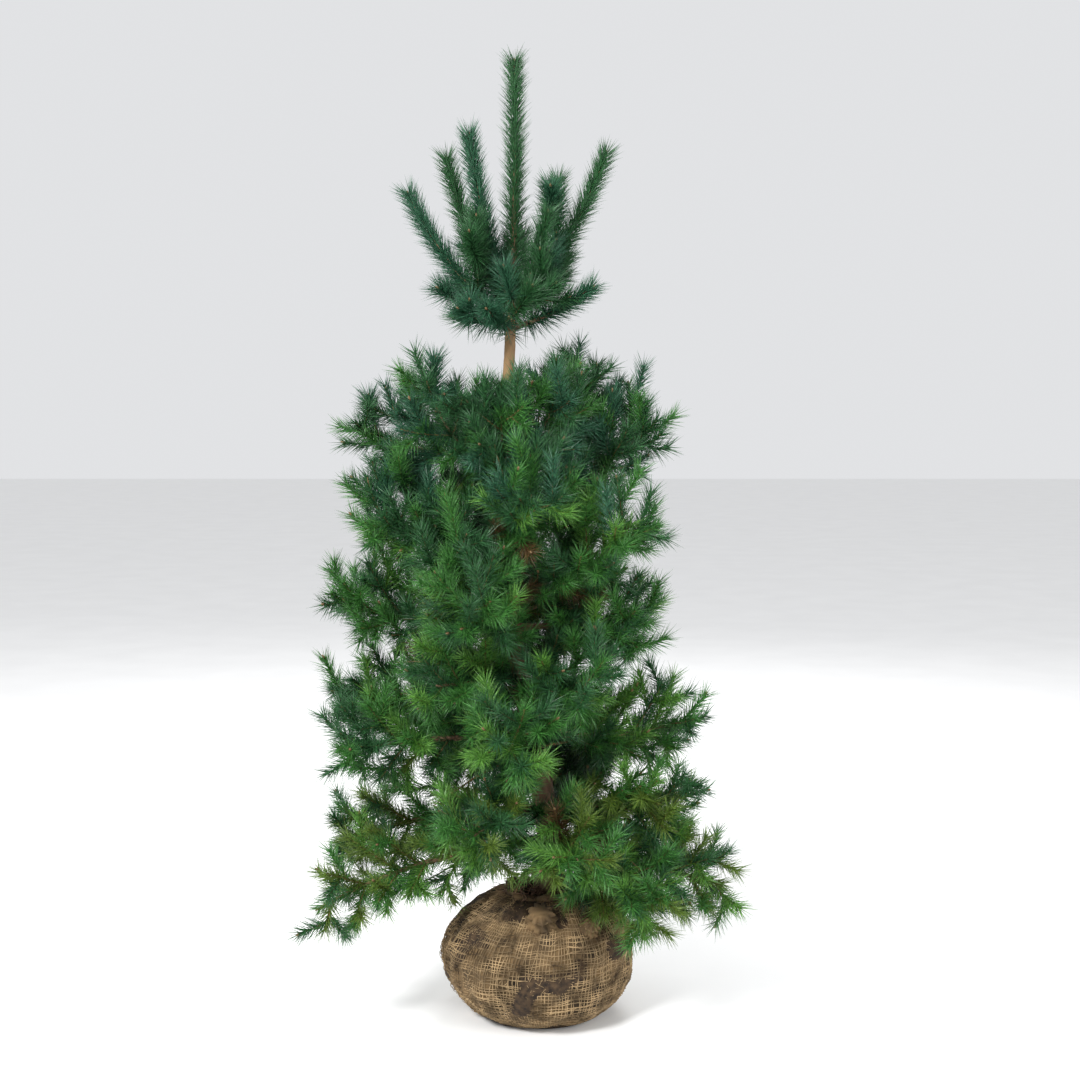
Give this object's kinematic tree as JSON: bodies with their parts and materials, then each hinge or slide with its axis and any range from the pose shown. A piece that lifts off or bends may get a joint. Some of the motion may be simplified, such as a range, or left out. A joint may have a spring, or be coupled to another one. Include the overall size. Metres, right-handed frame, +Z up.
{
  "type": "scots pine",
  "caption": "Young Scots pine with tiered whorls of needled boughs round a slim leaning trunk, standing on its burlap-wrapped root ball.",
  "frame": {"origin": "centre of the root ball's flat underside, on the surface that the plant stands on", "axes": "+Z up along the trunk, +X to the right and -Y towards the viewer of the picture"},
  "size_m": [1.0879, 0.8133, 2.3446],
  "materials": {
    "root_ball": "matt woven burlap over dark moist soil",
    "bark": "rough flaking bark, red-brown on the trunk and tan on young shoots",
    "needles": "satin blue-green needles"
  },
  "bodies": {
    "root": {"root_ball": "root_ball", "trunk": "bark", "bough_01": "bark", "bough_02": "bark", "bough_03": "bark", "bough_04": "bark", "bough_05": "bark", "bough_06": "bark", "bough_07": "bark", "bough_08": "bark", "bough_09": "bark", "bough_10": "bark", "bough_11": "bark", "bough_12": "bark", "bough_13": "bark", "bough_14": "bark", "bough_15": "bark", "bough_16": "bark", "bough_17": "bark", "needles_01": "needles", "needles_02": "needles", "needles_03": "needles", "needles_04": "needles", "needles_05": "needles", "needles_06": "needles", "needles_07": "needles", "needles_08": "needles", "needles_09": "needles", "needles_10": "needles", "needles_11": "needles", "needles_12": "needles", "needles_13": "needles", "needles_14": "needles", "needles_15": "needles", "needles_16": "needles", "needles_17": "needles", "leader_shoot": "needles", "top_shoot_1": "needles", "top_shoot_2": "needles", "top_shoot_3": "needles", "top_shoot_4": "needles", "top_shoot_5": "needles", "top_shoot_6": "needles", "top_shoot_7": "needles", "top_shoot_8": "needles", "upper_shoot_1": "needles", "upper_shoot_2": "needles", "upper_shoot_3": "needles", "upper_shoot_4": "needles", "upper_shoot_5": "needles", "upper_shoot_6": "needles", "inner_shoot_1": "needles", "inner_shoot_2": "needles", "inner_shoot_3": "needles", "inner_shoot_4": "needles", "inner_shoot_5": "needles", "inner_shoot_6": "needles", "inner_shoot_7": "needles", "inner_shoot_8": "needles", "inner_shoot_9": "needles"}
  },
  "joints": []
}
